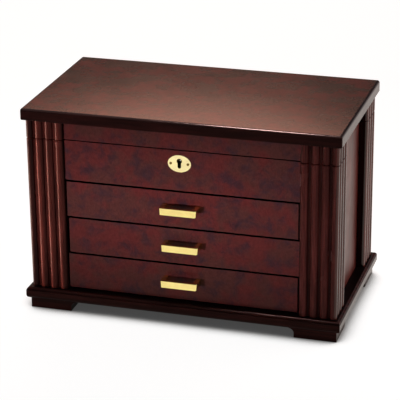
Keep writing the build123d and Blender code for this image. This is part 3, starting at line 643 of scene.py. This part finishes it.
def give_faces(name, material, chosen):
    """Put a further material on those faces of a CAD node that the test chooses."""
    mesh = nodes[name].data
    mesh.materials.append(material)
    slot = len(mesh.materials) - 1
    for face in mesh.polygons:
        if chosen(face):
            face.material_index = slot


def faces_fully_side(face):
    return abs(face.normal.x) > FACES_FULLY_SIDE


def faces_up(face):
    return face.normal.z > FLAT_UP


def faces_off_up(face):
    return not faces_up(face)


def faces_round_top(face):
    return FACES_SIDE < face.normal.z <= FLAT_UP and face.normal.y < -FACES_SIDE


def rounded_rim(face):
    """The small rounds between a panel's front and its edges."""
    return FACES_FRONT < face.normal.y < FACES_AWAY


def faces_away(face):
    """A panel's edges and its rear."""
    return face.normal.y > FACES_AWAY


def pillar_depths(place):
    """How far a point lies below a pillar's side and front planes."""
    return HALF_WIDTH - abs(place.x), HALF_DEPTH - abs(place.y - MIDDLE_Y)


def on_pillar_side(face):
    """Faces of the reeds at the side, without the flanks of those at the front."""
    return abs(face.normal.x) > FACES_SIDE and pillar_depths(face.center)[0] < REED_RISE


def at_corner(face):
    """Faces of the reed at a pillar's outer corner."""
    return max(pillar_depths(face.center)) < CORNER_REED and abs(face.normal.z) < FACES_SIDE


def in_groove(face):
    return abs(face.normal.z) < FACES_SIDE and min(pillar_depths(face.center)) > PAINTED_REED_SHADE_FRONT[1]


def dress_outside():
    give(burl_top, "lid_board")
    give_faces("lid_board", dark_edge, faces_off_up)
    give_faces("lid_board", board_round, faces_round_top)
    give_faces("lid_board", dark_side, faces_fully_side)

    fronts = ["front_panel", "lid_front_apron"] + [f"{drawer}_front" for drawer in DRAWERS]
    give(burl_front, *fronts)
    for front in fronts:
        give_faces(front, dark_edge, faces_away)
        # Painted shade on the small rounds at the gaps between the fronts
        give_faces(front, painted_black_shade, rounded_rim)

    for pillar in [f"{part}_{corner}" for part in ("pillar", "lid_pillar") for corner in CORNERS]:
        on_left = pillar.endswith("left")
        # The right pillars take the copy with painted light
        give(pillar_front if on_left else painted_lighter_right_pillar, pillar)
        give_faces(pillar, pillar_side, on_pillar_side)
        # Painted shade on the left pillars' corner reeds, which the shadowless lamp would light
        if on_left:
            give_faces(pillar, painted_corner_shade, at_corner)
        # Painted shade on the groove bottoms, where shade falls between the reeds
        give_faces(pillar, painted_groove_shade if on_left else dark_painted_groove_shade, in_groove)

    base_parts = ["base_board"] + [f"foot_{corner}" for corner in CORNERS]
    give(base_wood, *base_parts)
    for part in base_parts:
        give_faces(part, dark_side, faces_fully_side)
    # Painted shade on the base's top, where the ledge lies in shadow
    give_faces("base_board", painted_black_shade, faces_up)
    give(side_wood, "side_panel_left", "side_panel_right")
    give(wood_along["x"], "back_panel", "lid_rear_apron")
    give(wood_along["y"], "lid_side_aprons")


def dress_inside():
    give(wood_along["x"], "lid_mirror_frame")
    give(wood_along["y"], "top_rails")
    give(inner_along["y"], "drawer_runners", "guide_walls", *[f"{drawer}_box" for drawer in DRAWERS])
    give(inner_along["x"], "compartment_floor", *[f"{drawer}_bottom" for drawer in DRAWERS])
    give(silvered, "lid_mirror")


def dress_metal():
    give(pale_brass, "escutcheon")
    give(polished_brass, "hinge_leaves_case", "hinge_leaves_lid", "hinge_pins",
         *[f"{drawer}_pull" for drawer in DRAWERS])
    give(aged_brass, "escutcheon_pins")
    give(lock_brass, "lock_case", "lock_bolt", "lid_link_plate")
    give(zinc, *[f"{drawer}_pull_screws" for drawer in DRAWERS])


# Meshes and pieces

def smooth(mesh, on=True):
    mesh.polygons.foreach_set("use_smooth", [on] * len(mesh.polygons))


def new_mesh(name, points, faces, rounded=True):
    mesh = bpy.data.meshes.new(name)
    mesh.from_pydata(points, [], faces)
    mesh.validate()
    smooth(mesh, rounded)
    return mesh


def lofted(name, loops, rounded=True):
    """A closed form through loops of points, one for each level, with a face over each end."""
    around = len(loops[0])
    points = [point for loop in loops for point in loop]
    faces = []
    for low in range(0, len(points) - around, around):
        for index in range(around):
            after = (index + 1) % around
            faces.append((low + index, low + after, low + around + after, low + around + index))
    faces.append(tuple(range(around - 1, -1, -1)))
    faces.append(tuple(range(len(points) - around, len(points))))
    return new_mesh(name, points, faces, rounded)


def joined(name, meshes):
    """One mesh from several."""
    whole = bmesh.new()
    for mesh in meshes:
        whole.from_mesh(mesh)
    result = bpy.data.meshes.new(name)
    whole.to_mesh(result)
    whole.free()
    return result


def baked(piece):
    """The piece's mesh as its modifiers leave it."""
    graph = bpy.context.evaluated_depsgraph_get()
    graph.update()
    return bpy.data.meshes.new_from_object(piece.evaluated_get(graph))


def settle(piece):
    """Make what the modifiers leave the piece's own mesh."""
    piece.data = baked(piece)
    piece.modifiers.clear()


def place_piece(name, mesh, body, material, slot, *replaced):
    """Put a mesh in the scene as a piece that moves with a body and stands for CAD nodes."""
    piece = bpy.data.objects.new(name, mesh)
    bpy.context.scene.collection.objects.link(piece)
    mesh.materials.clear()
    mesh.materials.append(material)
    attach(piece, body)
    if replaced:
        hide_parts(*replaced)
    return piece


def level_loop(box, inset, corner, step, height):
    """Points round a rectangle with rounded corners. The inset changes their places but not their number."""
    x0, x1, y0, y1 = box
    half_x, half_y = (x1 - x0) / 2, (y1 - y0) / 2
    middle = Vector(((x0 + x1) / 2, (y0 + y1) / 2, height))
    radius = min(corner, half_x - inset, half_y - inset)
    reach_x, reach_y = half_x - inset - radius, half_y - inset - radius
    steps = [max(FEWEST_STEPS, round(2 * half / step)) for half in (half_y, half_x)]
    points = []
    signs = ((1, 1), (-1, 1), (-1, -1), (1, -1))
    for quarter, (sign_x, sign_y) in enumerate(signs):
        centre = middle + Vector((sign_x * reach_x, sign_y * reach_y, 0))
        for index in range(CORNER_STEPS + 1):
            angle = math.radians(90 * (quarter + index / CORNER_STEPS))
            points.append(centre + radius * Vector((math.cos(angle), math.sin(angle), 0)))
        next_x, next_y = signs[(quarter + 1) % 4]
        next_centre = middle + Vector((next_x * reach_x, next_y * reach_y, 0))
        start = points[-1]
        run = next_centre - centre
        count = steps[(quarter + 1) % 2]
        points.extend(start + run * (index / count) for index in range(1, count))
    return points


def stack(name, box, corner, step, profile):
    """A closed form from level loops, one for each inset and height of the profile."""
    return lofted(name, [level_loop(box, inset, corner, step, height) for inset, height in profile])


def ripple(vertices, amount, scale, seed):
    """Move each point a little, as cloth over foam and card is never quite flat."""
    for vertex in vertices:
        vertex.co += amount * noise.noise_vector(vertex.co * scale + Vector((seed, 0, 0)))


def arc(centre_inset, centre_height, radius, start, end):
    """Inset and height along a circular arc, with angles from the inward direction."""
    found = []
    for index in range(ARC_STEPS + 1):
        angle = math.radians(start + (end - start) * index / ARC_STEPS)
        found.append((centre_inset + radius * math.cos(angle), centre_height + radius * math.sin(angle)))
    return found


def parts_of(node):
    """The boxes of a node's separate solids, each as its lowest and highest corner."""
    whole = bmesh.new()
    whole.from_mesh(nodes[node].data)
    bmesh.ops.remove_doubles(whole, verts=whole.verts, dist=CLOSE)
    left = set(whole.verts)
    found = []
    while left:
        reached = [left.pop()]
        for vertex in reached:
            for edge in vertex.link_edges:
                other = edge.other_vert(vertex)
                if other in left:
                    left.remove(other)
                    reached.append(other)
        corners = [vertex.co for vertex in reached]
        found.append((Vector(map(min, zip(*corners))), Vector(map(max, zip(*corners)))))
    whole.free()
    return sorted(found, key=lambda corners: tuple(corners[0]))


# Velvet linings and dividers

def soft_lining(node, body, seed):
    """Velvet over thin card: a rolled rim, walls that run into the floor in a cove, and a crowned floor."""
    (x0, y0, z0), (x1, y1, z1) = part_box(node)
    half_wall = LINING / 2
    rim = z1 - half_wall
    floor = z0 + LINING
    reach = min(x1 - x0, y1 - y0) / 2
    profile = [(0.0, z0), (0.0, (z0 + rim) / 2)]
    profile += arc(half_wall, rim, half_wall - LINING_RIPPLE, 180, 0)
    wall_top = rim - LINING_COVE
    wall_bottom = floor + LINING_COVE
    for index in range(1, ARC_STEPS):
        share = index / ARC_STEPS
        swell = LINING_RIPPLE * math.sin(math.pi * share)
        profile.append((LINING - LINING_RIPPLE - swell, wall_top + (wall_bottom - wall_top) * share))
    profile += arc(LINING + LINING_COVE, floor + LINING_COVE, LINING_COVE, 180, 270)
    for share in LINING_FLOOR_LOOPS:
        rise = LINING_CROWN * (1 - (1 - share) ** CROWN_POWER)
        profile.append((reach * share, floor + rise))
    mesh = stack(node + "_velvet", (x0, x1, y0, y1), LINING_CORNER, LINING_STEP, profile)
    inside = [v for v in mesh.vertices if min(v.co.x - x0, x1 - v.co.x, v.co.y - y0, y1 - v.co.y) > half_wall]
    ripple(inside, LINING_RIPPLE, LINING_WAVES, seed)
    place_piece(node + "_velvet", mesh, body, dark_velvet, "velvet", node)


def padded_bar(name, box, bottom, top, seed):
    """A divider: card wrapped in padding and velvet, with soft sides and a rounded top."""
    straight = top - DIVIDER_HALF
    profile = [(DIVIDER_SWELL, bottom)]
    for share in DIVIDER_LOOPS:
        inset = DIVIDER_SWELL * (1 - math.sin(math.pi * share))
        profile.append((inset, bottom + (straight - bottom) * share))
    rounded = arc(0.0, straight, DIVIDER_HALF - DIVIDER_RIPPLE, 0, ALMOST_UPRIGHT)
    profile += [(DIVIDER_HALF - x, z) for x, z in rounded]
    mesh = stack(name, box, DIVIDER_CORNER, DIVIDER_STEP, profile)
    ripple(mesh.vertices, DIVIDER_RIPPLE, DIVIDER_WAVES, seed)
    return mesh


def soft_dividers(node, body, seed):
    bars = []
    for index, (low, high) in enumerate(parts_of(node)):
        box = (low.x, high.x, low.y, high.y)
        bars.append(padded_bar(f"{node}_bar_{index}", box, low.z, high.z, seed + index))
    mesh = joined(node + "_padded", bars)
    smooth(mesh)
    piece = place_piece(node + "_padded", mesh, body, dark_velvet, "velvet", node)


def line_with_velvet():
    """All the linings and dividers. The noise is seeded first, so that each run gives the same ripples."""
    noise.seed_set(RIPPLE_SEED)
    soft_lining("tray_lining", "root", seed=1)
    soft_dividers("tray_dividers", "root", seed=2)
    for number, drawer in enumerate(DRAWERS, start=1):
        soft_lining(f"{drawer}_lining", drawer, seed=SEED_STEP * number)
        if f"{drawer}_dividers" in nodes:
            soft_dividers(f"{drawer}_dividers", drawer, seed=SEED_STEP * number + SEED_STEP // 2)


# Ring rolls

def roll_form(length, width, height):
    """A foam roll on its side: a stem with a half round on top, closed by ends that pull in a little."""
    half = width / 2 - ROLL_SHRINK
    straight = height - width / 2
    steps = 3 * ARC_STEPS
    outline = [(-half, 0.0), (half, 0.0)]
    outline += [(half * math.cos(angle), straight + half * math.sin(angle))
                for angle in (math.pi * index / steps for index in range(steps + 1))]
    loops = [[(share * length, y * size, z * size) for y, z in outline] for share, size in ROLL_SECTIONS]
    return lofted("roll_form", loops)


def stuff(roll):
    """Fill a roll out under pressure, with its underside held, and keep the result."""
    held = roll.vertex_groups.new(name="held")
    underside = ROLL_VOXEL * ROLL_SCALE
    held.add([v.index for v in roll.data.vertices if v.co.z < underside], 1.0, "REPLACE")
    cloth = roll.modifiers.new("stuffing", "CLOTH")
    cloth.settings.vertex_group_mass = held.name
    cloth.settings.use_pressure = True
    cloth.settings.uniform_pressure_force = ROLL_PRESSURE
    cloth.settings.effector_weights.gravity = 0
    for step in range(1, ROLL_FRAMES + 1):
        bpy.context.scene.frame_set(step)
    settle(roll)
    bpy.context.scene.frame_set(1)


def stuffed_roll(length, width, height):
    """One roll, filled out by a cloth simulation at ten times its size and brought back to its own."""
    mesh = roll_form(length, width, height)
    form = bmesh.new()
    form.from_mesh(mesh)
    bmesh.ops.scale(form, vec=Vector((ROLL_SCALE,) * 3), verts=form.verts)
    bmesh.ops.recalc_face_normals(form, faces=form.faces)
    form.to_mesh(mesh)
    form.free()
    roll = bpy.data.objects.new("roll", mesh)
    bpy.context.scene.collection.objects.link(roll)
    remesh = roll.modifiers.new("even", "REMESH")
    remesh.mode = "VOXEL"
    remesh.voxel_size = ROLL_VOXEL * ROLL_SCALE
    settle(roll)
    start = [vertex.co.copy() for vertex in roll.data.vertices]
    stuff(roll)
    cap = ROLL_CAP * ROLL_SCALE
    for vertex, place in zip(roll.data.vertices, start):
        move = vertex.co - place
        if move.length > cap:
            move *= cap / move.length
        vertex.co = (place + move) / ROLL_SCALE
    roll.modifiers.new("finer", "SUBSURF").levels = 1
    result = baked(roll)
    bpy.data.objects.remove(roll)
    return result


def ring_pads():
    """Ten stuffed rolls side by side, which hold rings in the slots between them."""
    (x0, y0, z0), (x1, y1, z1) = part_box("ring_rolls")
    pitch = (y1 - y0 + ROLL_GAP) / ROLL_COUNT
    width = pitch - ROLL_GAP
    form = stuffed_roll(x1 - x0 - 2 * ROLL_SHRINK, width, z1 - z0 - ROLL_SHRINK)
    draw = random.Random(ROLL_SEED)
    copies = []
    for index in range(ROLL_COUNT):
        mesh = form.copy()
        y = y0 + width / 2 + index * pitch
        lean = draw.uniform(-ROLL_LEAN, ROLL_LEAN)
        tall = draw.uniform(ROLL_LOWEST, 1.0)
        turn = draw.uniform(-ROLL_SWAY, ROLL_SWAY)
        for vertex in mesh.vertices:
            at = vertex.co.copy()
            sway = turn * math.sin(at.x * ROLL_WAVES + index)
            spot = Vector((at.x * ROLL_WAVES, index * ROLL_APART, at.z * ROLL_WAVES))
            dent = ROLL_DENT * noise.noise(spot)
            vertex.co = Vector(((x0 + x1) / 2 + at.x, y + at.y * (1 - 2 * dent / width) + lean * at.z + sway,
                                z0 + at.z * tall + dent * at.z / (z1 - z0)))
        copies.append(mesh)
    mesh = joined("ring_roll_pads", copies)
    smooth(mesh)
    piece = place_piece("ring_roll_pads", mesh, "root", dark_velvet, "velvet", "ring_rolls")


# Screws and the lock's pin

def turned(rings):
    """A closed turned form about Z, from radius and height pairs."""
    angles = [2 * math.pi * index / ROUND_STEPS for index in range(ROUND_STEPS)]
    loops = [[(radius * math.cos(angle), radius * math.sin(angle), height) for angle in angles]
             for radius, height in rings]
    return lofted("turned", loops, rounded=False)


def screw_rings():
    """Radius and height pairs of a countersunk screw, from its pointed tip up to its head's top at 0."""
    cone = HEAD_RADIUS - SHANK_RADIUS
    thread = []
    level = -cone - THREAD_START
    while level > -SCREW_LENGTH + TIP_LENGTH:
        thread += [(THREAD_ROOT, level), (SHANK_RADIUS, level - THREAD_FLANK),
                   (THREAD_ROOT, level - 2 * THREAD_FLANK)]
        level -= THREAD_PITCH
    shank = [(SHANK_RADIUS, -cone - NECK), (SHANK_RADIUS, -cone)]
    head = [(HEAD_RADIUS, -HEAD_EASE), (HEAD_RADIUS - HEAD_EASE, 0.0)]
    return [(TIP_RADIUS, -SCREW_LENGTH)] + thread[::-1] + shank + head


def slotted_screw():
    """A countersunk screw along Z with its head's top at the origin and a slot across it."""
    body = bpy.data.objects.new("screw_body", turned(screw_rings()))
    half = SLOT_WIDTH / 2
    corners = [(x, y, z) for z in (-SLOT_DEPTH, SLOT_DEPTH) for x, y in
               ((-SLOT_REACH, -half), (SLOT_REACH, -half), (SLOT_REACH, half), (-SLOT_REACH, half))]
    sides = [(0, 3, 2, 1), (4, 5, 6, 7), (0, 1, 5, 4), (1, 2, 6, 5), (2, 3, 7, 6), (3, 0, 4, 7)]
    slot = bpy.data.objects.new("screw_slot", new_mesh("slot", corners, sides, rounded=False))
    for made in (body, slot):
        bpy.context.scene.collection.objects.link(made)
    cut = body.modifiers.new("slot", "BOOLEAN")
    cut.operation = "DIFFERENCE"
    cut.solver = "EXACT"
    cut.object = slot
    result = baked(body)
    for made in (body, slot):
        bpy.data.objects.remove(made)
    return result


def screws(node, body, draw, form):
    """Slotted screws in the places of a node's plain ones, each slot at its own angle."""
    copies = []
    heads_down = body == "lid"
    turn = Matrix.Rotation(math.pi if heads_down else 0.0, 4, "X")
    for low, high in parts_of(node):
        mesh = form.copy()
        centre = (low + high) / 2
        face = low.z if heads_down else high.z
        spin = Matrix.Rotation(draw.uniform(0, math.pi), 4, "Z")
        mesh.transform(Matrix.Translation((centre.x, centre.y, face)) @ turn @ spin)
        copies.append(mesh)
    name = node + "_slotted"
    place_piece(name, joined(name, copies), body, polished_brass, "screw_steel", node)


def drive_screws():
    draw = random.Random(SCREW_SEED)
    form = slotted_screw()
    screws("hinge_screws_case", "root", draw, form)
    screws("lid_screws", "lid", draw, form)


def pin_nose():
    """The bright domed nose of the lock's pin, seen through the keyhole."""
    rings = [(PIN_RADIUS, -PIN_SLEEVE)]
    for index in range(ARC_STEPS + 1):
        angle = math.radians(ALMOST_UPRIGHT * index / ARC_STEPS)
        rings.append((PIN_RADIUS * math.cos(angle), PIN_RADIUS * PIN_DOME * math.sin(angle)))
    mesh = turned(rings)
    smooth(mesh)
    mesh.transform(Matrix.Translation(PIN_TIP) @ Matrix.Rotation(math.radians(90), 4, "X"))
    place_piece("lock_pin_nose", mesh, "root", bright_steel, "lock_metal")


# Edges

def ease_edges(width, *names):
    """Weld a CAD node's faces together for a small bevel, because a sharp edge never catches light."""
    for name in names:
        node = nodes[name]
        weld = node.modifiers.new("weld", "WELD")
        weld.merge_threshold = CLOSE
        bevel = node.modifiers.new("ease", "BEVEL")
        bevel.width = width
        bevel.segments = EASE_SEGMENTS
        bevel.limit_method = "ANGLE"
        bevel.angle_limit = math.radians(EASE_ANGLE)
        bevel.harden_normals = True
        bevel.use_clamp_overlap = True


def ease_nodes():
    ease_edges(INNER_EASE, "drawer_runners", "top_rails", "lid_side_aprons", "guide_walls",
               "compartment_floor", *[f"{drawer}_{part}" for drawer in DRAWERS for part in ("box", "bottom")])
    ease_edges(PULL_EASE, *[f"{drawer}_pull" for drawer in DRAWERS])
    ease_edges(FITTING_EASE, "escutcheon", "lid_mirror_frame", "lid_mirror")


# The whole scene

make_camera()
make_studio()
dress_outside()
dress_inside()
dress_metal()
line_with_velvet()
ring_pads()
drive_screws()
pin_nose()
ease_nodes()

bpy.context.scene.view_settings.view_transform = "Standard"
